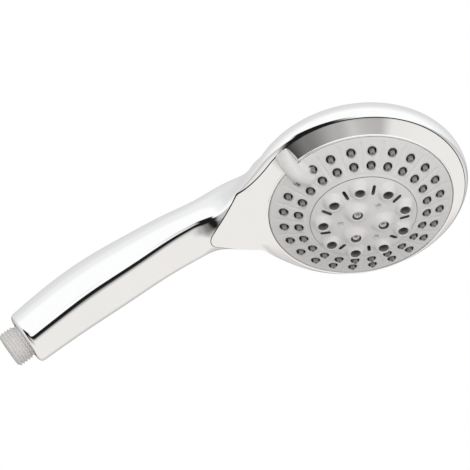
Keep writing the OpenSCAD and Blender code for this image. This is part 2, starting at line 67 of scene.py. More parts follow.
def tent_world():
    """The tent as a world: chrome sees the tent, everything else a softer light, the camera plain white."""
    world = bpy.data.worlds.new("studio_tent")
    world.use_nodes = True
    nodes, links = world.node_tree.nodes, world.node_tree.links
    background = nodes["Background"]
    way = nodes.new("ShaderNodeTexCoord")

    def along(axis):
        dot = nodes.new("ShaderNodeVectorMath")
        dot.operation = "DOT_PRODUCT"
        dot.inputs[1].default_value = axis
        links.new(way.outputs["Generated"], dot.inputs[0])
        return dot.outputs["Value"]

    def ramp(value, low, high, stops):
        scale = nodes.new("ShaderNodeMapRange")
        scale.inputs["From Min"].default_value = low
        scale.inputs["From Max"].default_value = high
        links.new(value, scale.inputs["Value"])
        colours = nodes.new("ShaderNodeValToRGB")
        band = colours.color_ramp
        band.interpolation = "EASE"
        while len(band.elements) < len(stops):
            band.elements.new(0.5)
        for element, (place, shade) in zip(band.elements, stops):
            element.position = (place - low) / (high - low)
            element.color = (*shade, 1)
        links.new(scale.outputs["Result"], colours.inputs["Fac"])
        return colours.outputs["Color"]

    def mix(kind, factor, first, second):
        node = nodes.new("ShaderNodeMix")
        node.data_type = "RGBA"
        node.blend_type = kind
        for socket, value in ((0, factor), (6, first), (7, second)):
            if hasattr(value, "is_linked"):
                links.new(value, node.inputs[socket])
            elif isinstance(value, tuple):
                node.inputs[socket].default_value = (*value, 1)
            else:
                node.inputs[socket].default_value = value
        return node.outputs[2]

    height = along(tent_up)
    front = along(tuple(view_back))
    sideways = along(tuple(view_right))
    one, none = (1.0,) * 3, (0.0,) * 3
    warm = (0.885, 0.862, 0.835)
    low = ramp(height, -1, 1, [(-1, warm), (-0.3, warm), (-0.05, (0.62, 0.61, 0.60)), (0.03, (0.55,) * 3)])
    high = ramp(front, -1, 1, [(-1, (0.70,) * 3), (-0.5, (0.78,) * 3), (0.0, (0.91,) * 3),
                               (0.35, (1.04,) * 3)])
    is_high = ramp(height, -1, 1, [(0.030, none), (0.036, one)])
    low_back = ramp(front, -1, 1, [(-1, (0.45,) * 3), (-0.85, (0.75,) * 3), (-0.6, one)])
    tent = mix("MIX", is_high, mix("MULTIPLY", 1.0, low, low_back), high)

    # The gap at the seam, the open side below it and the curtain's edge above the open side
    seam = ramp(height, -1, 1, [(-0.34, none), (-0.22, (0.45,) * 3), (-0.13, one), (0.030, one),
                                (0.035, none)])
    seam_side = ramp(sideways, -1, 1, [(0.40, one), (0.56, none)])
    facing = ramp(front, -1, 1, [(0.40, none), (0.62, one)])
    opening = ramp(height, -1, 1, [(-0.85, none), (-0.5, one), (0.025, one), (0.035, none)])
    opening_side = ramp(sideways, -1, 1, [(-0.90, (0.40,) * 3), (-0.72, one), (-0.60, one),
                                          (-0.40, (0.78,) * 3), (-0.08, (0.50,) * 3),
                                          (0.20, (0.22,) * 3), (0.42, none)])
    curtain_height = ramp(height, -1, 1, [(-0.05, none), (0.0, one), (0.20, one), (0.25, none)])
    curtain_side = ramp(sideways, -1, 1, [(-0.84, none), (-0.74, one), (-0.25, one), (0.20, none)])
    curtain_front = ramp(front, -1, 1, [(0.05, none), (0.25, one)])
    curtain = mix("MULTIPLY", 1.0, mix("MULTIPLY", 1.0, curtain_height, curtain_side), curtain_front)
    shut = mix("MULTIPLY", 1.0, seam, seam_side)
    gap = mix("MULTIPLY", 1.0, opening, opening_side)
    gap = mix("MULTIPLY", 1.0, mix("LIGHTEN", 1.0, shut, gap), facing)
    gap = mix("LIGHTEN", 1.0, gap, curtain)
    tent = mix("MIX", gap, tent, (0.012,) * 3)

    # The soft light on the plastics comes from the front, the left and below
    soft = ramp(front, -1, 1, [(-1, (0.42,) * 3), (-0.1, (0.55,) * 3), (0.6, (1.18,) * 3), (1, (1.35,) * 3)])
    soft = mix("MULTIPLY", 1.0, soft, ramp(sideways, -1, 1, [(-1, (1.35,) * 3), (0, one), (1, (0.66,) * 3)]))
    soft = mix("MULTIPLY", 1.0, soft, ramp(height, -1, 1, [(-1, (1.08,) * 3), (0, one), (1, (0.72,) * 3)]))
    seen = nodes.new("ShaderNodeLightPath")
    light = mix("MIX", seen.outputs["Is Glossy Ray"], soft, tent)
    links.new(mix("MIX", seen.outputs["Is Camera Ray"], light, (1.0,) * 3), background.inputs["Color"])
    background.inputs["Strength"].default_value = 1.0
    bpy.context.scene.world = world


tent_world()


def soft_light(name, place, size, power):
    """A square soft box aimed at the middle of the part, which the chrome does not mirror."""
    lamp = bpy.data.lights.new(name, "AREA")
    lamp.size = size
    lamp.energy = power
    lamp_object = bpy.data.objects.new(name, lamp)
    lamp_object.location = place
    aim = Vector((0, -0.04, 0.15)) - Vector(place)
    lamp_object.rotation_euler = aim.to_track_quat("-Z", "Y").to_euler()
    lamp_object.visible_glossy = False
    bpy.context.scene.collection.objects.link(lamp_object)


soft_light("key_light", tuple(view_back * 1.5 - view_right * 0.5 + Vector(tent_up) * 0.5), 0.9, 11)

# The pale floor, out of the chrome's reflections as the tent already has one
floor_z, floor_half = -0.32, 4
floor_corners = [(x * floor_half, y * floor_half, floor_z) for x, y in ((-1, -1), (1, -1), (1, 1), (-1, 1))]
floor_mesh = bpy.data.meshes.new("floor")
floor_mesh.from_pydata(floor_corners, [], [(0, 1, 2, 3)])
floor = bpy.data.objects.new("floor", floor_mesh)
floor_paint = bpy.data.materials.new("floor_paint")
floor_paint.use_nodes = True
floor_shader = floor_paint.node_tree.nodes["Principled BSDF"]
floor_shader.inputs["Base Color"].default_value = (0.86, 0.86, 0.85, 1)
floor_shader.inputs["Roughness"].default_value = 0.7
floor_mesh.materials.append(floor_paint)
floor.visible_glossy = False
bpy.context.scene.collection.objects.link(floor)

# ---------------------------------------------------------------------------------------------------------
# Rear shell
# Handle and back of the head in one ABS moulding, copper-nickel-chrome plated and polished. The handle is
# an oval bar that bends back, flattens and flows into the bowl of the head. Sizes are in millimetres.
# ---------------------------------------------------------------------------------------------------------
centre = np.array((0, -65.1, 200.7))
tilt = math.radians(25.3)
head_radius = 61.7
face_radius = 51.0
face_edge = 1.1
border_slope = 0.84
panel_height = -4.3
panel_slope = 0.09
panel_crown = 0.014
seam_radius = 58.8
tip_radius = 5.9
tip_reach = 80.3
crown_depth = 8.5
bowl_depth = 21.5
crown_power = 2.65
neck_radius = 5.2
neck_reach = 81.0
neck_fillet = 11.0
neck_web = 20.0
shell_wall = 2.0
foot_z = 11.0
foot_round = 3.2
bar_top = 205
panel_fall, panel_fall_from = 0.02, 55
tip_lift, tip_lift_from = 0.02, 78
web_place, web_length = -47, 10


def to_head(points):
    """Points of the part's frame in the head's own frame: x, away from the handle, along the spray."""
    d = points - centre
    return np.stack((d[..., 0], d[..., 2] * math.cos(tilt) - d[..., 1] * math.sin(tilt),
                     -d[..., 1] * math.cos(tilt) - d[..., 2] * math.sin(tilt)), -1)


def from_head(points):
    x, y, z = points[..., 0], points[..., 1], points[..., 2]
    return centre + np.stack((x, -y * math.sin(tilt) - z * math.cos(tilt),
                              y * math.cos(tilt) - z * math.sin(tilt)), -1)


def join(a, b, k):
    """Union of two solids with a fillet of size k."""
    h = np.clip(0.5 + 0.5 * (b - a) / k, 0, 1)
    return b * (1 - h) + a * h - k * h * (1 - h)


def trim(a, b, k):
    """What two solids share, with a rounding of size k."""
    return -join(-a, -b, k)


def smooth_curve(knots):
    """A natural cubic spline through a few (place, value) knots."""
    x, y = np.array(knots, float).T
    n = len(x)
    h = np.diff(x)
    a, b = np.eye(n), np.zeros(n)
    for i in range(1, n - 1):
        a[i, i - 1:i + 2] = h[i - 1], 2 * (h[i - 1] + h[i]), h[i]
        b[i] = 6 * ((y[i + 1] - y[i]) / h[i] - (y[i] - y[i - 1]) / h[i - 1])
    m = np.linalg.solve(a, b)

    def value(t):
        i = np.clip(np.searchsorted(x, t) - 1, 0, n - 2)
        p, q, w = x[i + 1] - t, t - x[i], h[i]
        inside = ((m[i] * p ** 3 + m[i + 1] * q ** 3) / (6 * w) + (y[i] / w - m[i] * w / 6) * p
                  + (y[i + 1] / w - m[i + 1] * w / 6) * q)
        start = (y[1] - y[0]) / h[0] - h[0] * (2 * m[0] + m[1]) / 6
        end = (y[-1] - y[-2]) / h[-1] + h[-1] * (m[-2] + 2 * m[-1]) / 6
        above = np.where(t > x[-1], y[-1] + end * (t - x[-1]), inside)
        return np.where(t < x[0], y[0] + start * (t - x[0]), above)
    return value


# The handle by height: its middle line, half width, half depth and how square its section is
handle_line = smooth_curve([(11, 0.0), (45, 2.2), (80, 0.7), (115, -3.7), (146, -12.3), (172, -25.6),
                            (194, -45.0)])
handle_half = smooth_curve([(11, 15.4), (35, 16.5), (65, 17.2), (95, 16.4), (117, 15.8), (132, 15.5),
                            (146, 16.9), (172, 18.0), (194, 15.1)])
handle_depth = smooth_curve([(11, 15.4), (35, 16.4), (65, 16.6), (95, 14.9), (117, 13.4), (132, 12.8),
                             (146, 14.2), (172, 14.9), (194, 12.1)])
handle_square = smooth_curve([(11, 2.0), (65, 2.1), (110, 2.3), (146, 2.7), (194, 2.6)])


def round_wedge(x, y, r1, r2, reach):
    """Distance outside the outline of two circles, reach apart, and their common tangents."""
    x, y = np.abs(x), -y
    b = (r1 - r2) / reach
    a = math.sqrt(1 - b * b)
    k = -b * x + a * y
    side = a * x + b * y - r1
    return np.where(k < 0, np.hypot(x, y) - r1, np.where(k > a * reach, np.hypot(x, y - reach) - r2, side))


def front_height(x, y):
    """Height of the cover's front: a cone round the spray face that runs into a flatter neck panel."""
    r = np.hypot(x, y)
    cone = face_edge - border_slope * (r - face_radius)
    panel = panel_height - panel_slope * (r - seam_radius) - panel_crown * x ** 2
    panel = panel - panel_fall * np.maximum(0, y + panel_fall_from) ** 2
    lift = tip_lift * np.maximum(0, -y - tip_lift_from) ** 2
    return -join(-cone, -panel, 1.5) + lift


def body_field(points):
    """Signed distance, near enough, outside the closed body of head and handle."""
    x, y, z = np.moveaxis(to_head(points), -1, 0)
    wedge = round_wedge(x, y, head_radius, neck_radius, neck_reach)
    a = np.maximum(0.02, (head_radius + wedge) / head_radius)
    b = np.maximum(0, -z - crown_depth) / bowl_depth
    total = a ** crown_power + b ** crown_power
    q = total ** (1 / crown_power)
    slope = total ** (1 / crown_power - 1) * np.hypot(a ** (crown_power - 1) / head_radius,
                                                     b ** (crown_power - 1) / bowl_depth)
    head = (q - 1) / np.maximum(slope, 1e-3)
    height = points[..., 2]
    line = handle_line(height)
    lean = handle_line(height + 0.5) - handle_line(height - 0.5)
    across = (points[..., 1] - line) / np.sqrt(1 + lean ** 2)
    half, deep, power = handle_half(height), handle_depth(height), handle_square(height)
    u, v = np.abs(points[..., 0]) / half, np.abs(across) / deep
    total = np.maximum(1e-9, u ** power + v ** power)
    q = total ** (1 / power)
    slope = total ** (1 / power - 1) * np.hypot(u ** (power - 1) / half, v ** (power - 1) / deep)
    bar = (q - 1) / np.maximum(slope, 1e-3)
    bar = trim(bar, foot_z - height, foot_round)
    bar = np.maximum(bar, (height - bar_top) * 0.8)
    web = np.exp(-((y - web_place) / web_length) ** 2) * np.clip((-z - 6) / 12, 0, 1)
    both = join(head, bar, neck_fillet + neck_web * web)
    soften = np.clip((-y - 40) / 30, 0, 1)
    return trim(both, (z - front_height(x, y)) * (0.78 + 0.2 * soften), 3.0 + 1.5 * soften)


def gradient(field, p, step=0.02):
    g = np.empty_like(p)
    for i in range(3):
        e = np.zeros(3)
        e[i] = step
        g[:, i] = (field(p + e) - field(p - e)) / (2 * step)
    return g


def settle(field, p, rounds=4):
    """Moves points onto the field's zero surface and returns them with the surface's normals."""
    for _ in range(rounds):
        g = gradient(field, p)
        p = p - g * (field(p) / np.maximum((g * g).sum(1), 1e-9))[:, None]
    g = gradient(field, p)
    return p, g / np.linalg.norm(g, axis=1)[:, None]


def skin_of(field, low, high, cell):
    """A quad skin over the zero surface of a field inside a box, one vertex for each crossed cell."""
    counts = np.ceil((np.array(high) - low) / cell).astype(int) + 1
    axes = [low[i] + cell * np.arange(counts[i]) for i in range(3)]
    values = np.empty(counts)
    for k in range(0, counts[2], 8):
        grid = np.stack(np.meshgrid(axes[0], axes[1], axes[2][k:k + 8], indexing="ij"), -1)
        values[:, :, k:k + 8] = field(grid)
    inside = values < 0
    corner = [slice(0, -1), slice(1, None)]
    total = sum(inside[corner[a], corner[b], corner[c]].astype(np.int8)
                for a in (0, 1) for b in (0, 1) for c in (0, 1))
    cells = np.argwhere((total > 0) & (total < 8))
    index = np.full(np.array(counts) - 1, -1, int)
    index[tuple(cells.T)] = np.arange(len(cells))
    place, hits = np.zeros((len(cells), 3)), np.zeros(len(cells))
    for axis in range(3):
        others = [a for a in range(3) if a != axis]
        for s in (0, 1):
            for t in (0, 1):
                start = np.zeros(3, int)
                start[others[0]], start[others[1]] = s, t
                end = start.copy()
                end[axis] = 1
                va, vb = values[tuple((cells + start).T)], values[tuple((cells + end).T)]
                crossed = (va < 0) != (vb < 0)
                share = np.where(crossed, va / np.where(crossed, va - vb, 1), 0)
                place += np.where(crossed[:, None], start + (end - start) * share[:, None], 0)
                hits += crossed
    points = low + cell * (cells + place / hits[:, None])
    quads = []
    for axis in range(3):
        others = [(axis + 1) % 3, (axis + 2) % 3]
        here = [slice(None)] * 3
        there = [slice(None)] * 3
        here[axis], there[axis] = slice(0, -1), slice(1, None)
        edges = np.argwhere(inside[tuple(here)] != inside[tuple(there)])
        edges = edges[(edges[:, others[0]] > 0) & (edges[:, others[1]] > 0)]
        for other in others:
            edges = edges[edges[:, other] < counts[other] - 1]
        ring = []
        for s, t in ((0, 0), (1, 0), (1, 1), (0, 1)):
            c = edges.copy()
            c[:, others[0]] -= s
            c[:, others[1]] -= t
            ring.append(index[tuple(c.T)])
        ring = np.stack(ring, 1)
        flip = ~inside[tuple(edges.T)]
        ring[flip] = ring[flip][:, ::-1]
        quads.append(ring)
    return points, np.concatenate(quads)


def cut(points, faces, outside, mend):
    """Triangles of a mesh where outside is negative. Points on the cut are placed by mend."""
    tris = np.concatenate((faces[:, [0, 1, 2]], faces[:, [0, 2, 3]])) if faces.shape[1] == 4 else faces
    side = outside(points) > 0
    count = side[tris].sum(1)
    kept = [tris[count == 0]]
    mixed = tris[(count == 1) | (count == 2)]
    pairs = np.sort(np.concatenate((mixed[:, [0, 1]], mixed[:, [1, 2]], mixed[:, [2, 0]])), 1)
    pairs = np.unique(pairs[side[pairs[:, 0]] != side[pairs[:, 1]]], axis=0)
    va, vb = outside(points[pairs[:, 0]]), outside(points[pairs[:, 1]])
    share = (va / (va - vb))[:, None]
    placed = mend(points[pairs[:, 0]] * (1 - share) + points[pairs[:, 1]] * share)
    number = {(a, b): len(points) + i for i, (a, b) in enumerate(map(tuple, pairs))}
    extra = []
    for tri in mixed:
        for turn in range(3):
            a, b, c = np.roll(tri, -turn)
            if side[a] != side[b] and side[a] != side[c]:
                break
        ab, ac = number[tuple(sorted((a, b)))], number[tuple(sorted((a, c)))]
        if side[a]:
            extra += [(ab, b, c), (ab, c, ac)]
        else:
            extra.append((a, ab, ac))
    points = np.concatenate((points, placed))
    tris = np.concatenate(kept + [np.array(extra, int).reshape(-1, 3)])
    used = np.unique(tris)
    back = np.zeros(len(points), int)
    back[used] = np.arange(len(used))
    return points[used], back[tris]


def mesh_piece(name, points, faces, normals=None):
    """A Blender mesh from millimetre points. normals are per corner of each face."""
    mesh = bpy.data.meshes.new(name)
    mesh.from_pydata((np.asarray(points) / 1000).tolist(), [], [tuple(map(int, f)) for f in faces])
    mesh.update()
    piece = bpy.data.objects.new(name, mesh)
    bpy.context.scene.collection.objects.link(piece)
    for polygon in mesh.polygons:
        polygon.use_smooth = True
    if normals is not None:
        mesh.normals_split_custom_set(np.asarray(normals).tolist())
    return piece


def wall_piece(name, points, faces, normals, inward):
    """A moulded wall: the outer skin, the skin moved by inward, and a rim along every open edge."""
    n = len(points)
    inner = points + inward
    edges = np.concatenate((faces[:, [0, 1]], faces[:, [1, 2]], faces[:, [2, 0]]))
    sides = dict.fromkeys(map(tuple, edges))
    rims = [(b, a, a + n, b + n) for a, b in sides if (b, a) not in sides]
    everything = [tuple(f) for f in faces] + [tuple(f[::-1] + n) for f in faces] + rims
    both = np.concatenate((points, inner))
    corner = np.concatenate((normals[faces].reshape(-1, 3), -normals[faces[:, ::-1]].reshape(-1, 3)))
    rim_normals = []
    for f in rims:
        a, b, c = both[f[0]], both[f[1]], both[f[2]]
        m = np.cross(b - a, c - b)
        length = np.linalg.norm(m)
        m = m / length if length > 1e-9 else np.array((0, 0, 1.0))
        rim_normals += [m] * 4
    corner = np.concatenate((corner, np.array(rim_normals).reshape(-1, 3)))
    piece = mesh_piece(name, both, everything, corner)
    # The rims take the piece's second material: painted shade on the chrome pieces and on the centre disc
    for polygon in list(piece.data.polygons)[len(everything) - len(rims):]:
        polygon.material_index = 1
    return piece


def seam_distance(points, gap):
    """Distance outside the seam between shell and cover, seen along the spray."""
    x, y, z = np.moveaxis(to_head(points), -1, 0)
    return round_wedge(x, y, seam_radius + gap, tip_radius + gap, tip_reach)


def on_both(first, second):
    """Places points where two fields are both zero."""
    def place(p):
        for _ in range(5):
            f, h = first(p), second(p)
            gf, gh = gradient(first, p), gradient(second, p)
            a, b, c = (gf * gf).sum(1), (gf * gh).sum(1), (gh * gh).sum(1)
            det = np.maximum(a * c - b * b, 1e-6)
            s = (c * f - b * h) / det
            t = (a * h - b * f) / det
            move = gf * s[:, None] + gh * t[:, None]
            size = np.linalg.norm(move, axis=1)[:, None]
            p = p - move * np.minimum(1, 1.0 / np.maximum(size, 1e-9))
        return p
    return place


cell = 1.1
skin_points, skin_quads = skin_of(body_field, np.array((-63.0, -98, 9)), np.array((63.0, 24, 264)), cell)
skin_points, _ = settle(body_field, skin_points)

# Outside the seam the skin is the rear shell, and its foot is open round the inlet
seam_gap = 0.42
skirt_depth = 15
foot_hole = 10.75
foot_open_below = 20


def shell_outside(p):
    return np.minimum(-seam_distance(p, seam_gap), to_head(p)[..., 2] + skirt_depth)


def foot_outside(p):
    return np.minimum(foot_hole - np.hypot(p[..., 0], p[..., 1]), foot_open_below - p[..., 2])


shell_points, shell_faces = cut(skin_points, skin_quads, shell_outside,
                                on_both(body_field, lambda p: seam_distance(p, seam_gap)))
shell_points, shell_faces = cut(shell_points, shell_faces, foot_outside,
                                on_both(body_field, lambda p: np.hypot(p[..., 0], p[..., 1]) - foot_hole))
_, shell_normals = settle(body_field, shell_points, 0)
rear_shell = wall_piece("rear_shell_chrome", shell_points, shell_faces, shell_normals,
                        -shell_wall * shell_normals)


def chrome_plate():
    """Bright chrome over nickel on ABS: mirror gloss with the faint waviness of a moulded plastic part."""
    material = bpy.data.materials.new("chrome_plate")
    material.use_nodes = True
    nodes, links = material.node_tree.nodes, material.node_tree.links
    shader = nodes["Principled BSDF"]
    shader.inputs["Metallic"].default_value = 1.0
    place = nodes.new("ShaderNodeTexCoord")
    film = nodes.new("ShaderNodeTexNoise")
    film.inputs["Scale"].default_value = 26
    film.inputs["Detail"].default_value = 3
    links.new(place.outputs["Object"], film.inputs["Vector"])
    tone = nodes.new("ShaderNodeValToRGB")
    tone.color_ramp.elements[0].color = (0.925, 0.93, 0.94, 1)
    tone.color_ramp.elements[1].color = (0.965, 0.965, 0.965, 1)
    links.new(film.outputs["Fac"], tone.inputs["Fac"])
    links.new(tone.outputs["Color"], shader.inputs["Base Color"])
    gloss = nodes.new("ShaderNodeMapRange")
    gloss.inputs["To Min"].default_value = 0.025
    gloss.inputs["To Max"].default_value = 0.055
    links.new(film.outputs["Fac"], gloss.inputs["Value"])
    links.new(gloss.outputs["Result"], shader.inputs["Roughness"])
    wave = nodes.new("ShaderNodeTexNoise")
    wave.inputs["Scale"].default_value = 55
    links.new(place.outputs["Object"], wave.inputs["Vector"])
    bump = nodes.new("ShaderNodeBump")
    bump.inputs["Strength"].default_value = 0.02
    bump.inputs["Distance"].default_value = 0.0004
    links.new(wave.outputs["Fac"], bump.inputs["Height"])
    links.new(bump.outputs["Normal"], shader.inputs["Normal"])
    return material


chrome = chrome_plate()


def painted_gap_shade():
    """Near-black painted shade for the mouldings' cut edges, so that their seam gaps and openings read as
    dark lines.
    """
    material = bpy.data.materials.new("painted_gap_shade")
    material.use_nodes = True
    nodes, links = material.node_tree.nodes, material.node_tree.links
    mottle = nodes.new("ShaderNodeTexNoise")
    mottle.inputs["Scale"].default_value = 300
    shade = nodes.new("ShaderNodeValToRGB")
    shade.color_ramp.elements[0].color = (0.03, 0.03, 0.03, 1)
    shade.color_ramp.elements[1].color = (0.06, 0.06, 0.06, 1)
    links.new(mottle.outputs["Fac"], shade.inputs["Fac"])
    links.new(shade.outputs["Color"], nodes["Principled BSDF"].inputs["Base Color"])
    nodes["Principled BSDF"].inputs["Roughness"].default_value = 0.7
    return material


# Painted shade for the rims of the chrome shell and cover, standing in for the shade in their seam gap
gap_shade_material = painted_gap_shade()
rear_shell.data.materials.append(chrome)
rear_shell.data.materials.append(gap_shade_material)
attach(rear_shell, "handset")
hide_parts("rear_shell")

# ---------------------------------------------------------------------------------------------------------
# Front cover
# Chromed tear-drop frame that snaps into the rear shell. It is the inside of the same skin, so that the two
# mouldings are flush along their seam, with a round hole for the spray face.
# ---------------------------------------------------------------------------------------------------------
def cover_outside(p):
    return np.maximum(seam_distance(p, 0), -to_head(p)[..., 2] - skirt_depth)


def face_radius_at(p):
    q = to_head(p)
    return np.hypot(q[..., 0], q[..., 1])


hole_radius = face_radius + 0.9
cover_points, cover_faces = cut(skin_points, skin_quads, cover_outside,
                                on_both(body_field, lambda p: seam_distance(p, 0)))
cover_points, cover_faces = cut(cover_points, cover_faces, lambda p: hole_radius - face_radius_at(p),
                                on_both(body_field, lambda p: face_radius_at(p) - hole_radius))
_, cover_normals = settle(body_field, cover_points, 0)
into_head = from_head(np.array((0, 0, -1.0))) - from_head(np.zeros(3))

# The shape stays, but its shading normals are leaned towards the spray, a little on the border and much more
# on the neck panel, so that both mirror the tent as flatter surfaces would
border_lean, border_end = 0.14, 60.0
neck_lean, neck_start = 1.6, 62.5
cover_way = np.hypot(*to_head(cover_points)[:, :2].T)
lean = (border_lean * np.clip((border_end - cover_way) / 1.5, 0, 1)
        + neck_lean * np.clip((cover_way - neck_start) / 6, 0, 1))
cover_normals = cover_normals - lean[:, None] * into_head
cover_normals /= np.linalg.norm(cover_normals, axis=1)[:, None]
cover_wall = 3.0
cover = wall_piece("front_cover_chrome", cover_points, cover_faces, cover_normals,
                   np.tile(into_head * cover_wall, (len(cover_points), 1)))


def lathe(profile, segments):
    """A closed solid of revolution about z from a loop of (radius, height) points."""
    a = np.linspace(0, 2 * math.pi, segments, endpoint=False)
    p = np.array(profile, float)
    points = np.stack((p[:, :1] * np.cos(a), p[:, :1] * np.sin(a), np.tile(p[:, 1:], (1, segments))), -1)
    faces = []
    for i in range(len(p)):
        k = (i + 1) % len(p)
        for j in range(segments):
            m = (j + 1) % segments
            faces.append((i * segments + j, i * segments + m, k * segments + m, k * segments + j))
    return points.reshape(-1, 3), np.array(faces)


# The hole's edge is rolled over in a small bright bead
bead_start, bead_width, bead_rise, bead_foot = face_radius + 0.1, 0.8, 0.75, -3.0
bead_level = face_edge - border_slope * bead_width - 0.1
bead = [(bead_start + bead_width * (1 - math.cos(t)), bead_level + bead_rise * math.sin(t))
        for t in np.linspace(0, math.pi * 0.62, 8)]
bead += [(hole_radius + 0.1, bead_foot), (bead_start, bead_foot)]
lip_points, lip_faces = lathe(bead[::-1], 240)
lip = mesh_piece("front_cover_lip", from_head(lip_points), lip_faces)
lip.data.materials.append(chrome)
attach(lip, "handset")
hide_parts("front_cover")
cover.data.materials.append(chrome)
cover.data.materials.append(gap_shade_material)
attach(cover, "handset")
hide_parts("front_cover")

# ---------------------------------------------------------------------------------------------------------
# Spray face
# The domed ring moulded in light grey satin ABS that turns to choose the spray. It is divided by shallow
# grooves into 24 sectors, and each sector has two round wells that the rubber nozzles stand in.
# ---------------------------------------------------------------------------------------------------------
disc_radius = 29.5
disc_edge = 9.3
face_slope = 0.38
sector = math.radians(15)
well_radius = 2.55
outer_row, inner_row = 43.4, 35.6
groove_start, groove_end, groove_deep = 32.5, 49.3, 0.5
inner_groove = 31.4
edge_gap = 0.15
face_depth = 4.2


def face_cone(r):
    """Height of the face's plain cone, without its grooves and wells."""
    return disc_edge - face_slope * (r - disc_radius)


def face_height(x, y):
    r, a = np.hypot(x, y), np.arctan2(y, x)
    z = face_cone(r)
    along = np.clip((r - groove_start) / 2, 0, 1) * np.clip((groove_end - r) / 1.5, 0, 1)
    off = np.abs(a - sector * np.round(a / sector)) * r
    z = z - groove_deep * along * np.exp(-(off / 0.5) ** 2)
    z = z - 0.3 * np.exp(-((r - inner_groove) / 0.7) ** 2)
    to_edge = np.minimum(face_radius - edge_gap - r, r - disc_radius - edge_gap)
    edge = np.clip(1 - to_edge / 0.7, 0, 0.98)
    z = z - 0.55 * (1 - np.sqrt(1 - edge ** 2))
    well = well_distance(x, y) - well_radius
    return z - 0.35 * np.clip(1 - well / 0.5, 0, 1) ** 2


def well_distance(x, y):
    """Distance from the middle of the nearest well."""
    r, a = np.hypot(x, y), np.arctan2(y, x)
    off = (a / sector - 0.5 - np.round(a / sector - 0.5)) * sector
    return np.minimum(np.hypot(r * np.cos(off) - outer_row, r * np.sin(off)),
                      np.hypot(r * np.cos(off) - inner_row, r * np.sin(off)))


def polar_sheet(inner, outer, rings, spokes):
    """Quads of a flat ring in the head's frame; z is filled in later."""
    r = np.linspace(inner, outer, rings + 1)
    a = np.linspace(0, 2 * math.pi, spokes, endpoint=False)
    rr, aa = np.meshgrid(r, a, indexing="ij")
    points = np.stack((rr * np.cos(aa), rr * np.sin(aa), np.zeros_like(rr)), -1).reshape(-1, 3)
    i, j = np.meshgrid(np.arange(rings), np.arange(spokes), indexing="ij")
    k = (j + 1) % spokes
    quads = np.stack((i * spokes + j, (i + 1) * spokes + j, (i + 1) * spokes + k, i * spokes + k), -1)
    return points, quads.reshape(-1, 4)


def height_normals(height, points, step=0.03):
    x, y = points[:, 0], points[:, 1]
    dx = (height(x + step, y) - height(x - step, y)) / (2 * step)
    dy = (height(x, y + step) - height(x, y - step)) / (2 * step)
    n = np.stack((-dx, -dy, np.ones_like(dx)), 1)
    return n / np.linalg.norm(n, axis=1)[:, None]


def turned(vectors):
    """Directions of the head's frame in the part's frame."""
    return from_head(vectors) - centre


def onto_circle(distance, radius):
    """Moves points in the plane onto the line where a distance function has a given value."""
    def place(p):
        for _ in range(4):
            d = distance(p[:, 0], p[:, 1]) - radius
            gx = (distance(p[:, 0] + 0.01, p[:, 1]) - distance(p[:, 0] - 0.01, p[:, 1])) / 0.02
            gy = (distance(p[:, 0], p[:, 1] + 0.01) - distance(p[:, 0], p[:, 1] - 0.01)) / 0.02
            p = p - np.stack((gx, gy, 0 * gx), 1) * d[:, None]
        return p
    return place


def height_wall(name, points, faces, height, depth):
    """A moulded wall whose front follows a height above the head's plane."""
    points = points.copy()
    points[:, 2] = height(points[:, 0], points[:, 1])
    normals = turned(height_normals(height, points))
    down = turned(np.array((0, 0, -depth)))
    return wall_piece(name, from_head(points), faces, normals, np.tile(down, (len(points), 1)))


face_points, face_quads = polar_sheet(disc_radius + edge_gap, face_radius - edge_gap, 36,
                                      384)
face_points, face_faces = cut(face_points, face_quads,
                              lambda p: well_radius - well_distance(p[:, 0], p[:, 1]),
                              onto_circle(well_distance, well_radius))
spray_face = height_wall("spray_face_ring", face_points, face_faces, face_height, face_depth)


def satin_plastic(name, colour, rough=0.38, grain=900):
    """Moulded satin plastic with a fine spark-eroded texture."""
    material = bpy.data.materials.new(name)
    material.use_nodes = True
    nodes, links = material.node_tree.nodes, material.node_tree.links
    shader = nodes["Principled BSDF"]
    place = nodes.new("ShaderNodeTexCoord")
    cloud = nodes.new("ShaderNodeTexNoise")
    cloud.inputs["Scale"].default_value = 60
    links.new(place.outputs["Object"], cloud.inputs["Vector"])
    tone = nodes.new("ShaderNodeValToRGB")
    tone.color_ramp.elements[0].color = (*(c * 0.975 for c in colour), 1)
    tone.color_ramp.elements[1].color = (*(min(1, c * 1.02) for c in colour), 1)
    links.new(cloud.outputs["Fac"], tone.inputs["Fac"])
    links.new(tone.outputs["Color"], shader.inputs["Base Color"])
    speck = nodes.new("ShaderNodeTexNoise")
    speck.inputs["Scale"].default_value = grain
    links.new(place.outputs["Object"], speck.inputs["Vector"])
    gloss = nodes.new("ShaderNodeMapRange")
    gloss.inputs["To Min"].default_value = rough - 0.05
    gloss.inputs["To Max"].default_value = rough + 0.08
    links.new(speck.outputs["Fac"], gloss.inputs["Value"])
    links.new(gloss.outputs["Result"], shader.inputs["Roughness"])
    bump = nodes.new("ShaderNodeBump")
    bump.inputs["Strength"].default_value = 0.15
    bump.inputs["Distance"].default_value = 0.0002
    links.new(speck.outputs["Fac"], bump.inputs["Height"])
    links.new(bump.outputs["Normal"], shader.inputs["Normal"])
    return material


face_plastic = satin_plastic("face_plastic", (0.87, 0.85, 0.84))
for _ in ("front", "rims"):
    spray_face.data.materials.append(face_plastic)
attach(spray_face, "spray_head")
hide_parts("spray_face")

# ---------------------------------------------------------------------------------------------------------
# Selector lever
# A rounded fin of the same plastic, moulded separately and welded to the face, that a thumb pushes round.
# It runs out over the chrome border and down towards the seam.
# ---------------------------------------------------------------------------------------------------------
lever_way = math.radians(210)
lever_inner, lever_outer = 38.0, 59.6
lever_middle = 0.9
lever_crest = smooth_curve([(36, 5.8), (40, 7.6), (45, 9.2), (50, 9.2), (54, 7.0), (57.5, 2.8), (60, -3.0)])


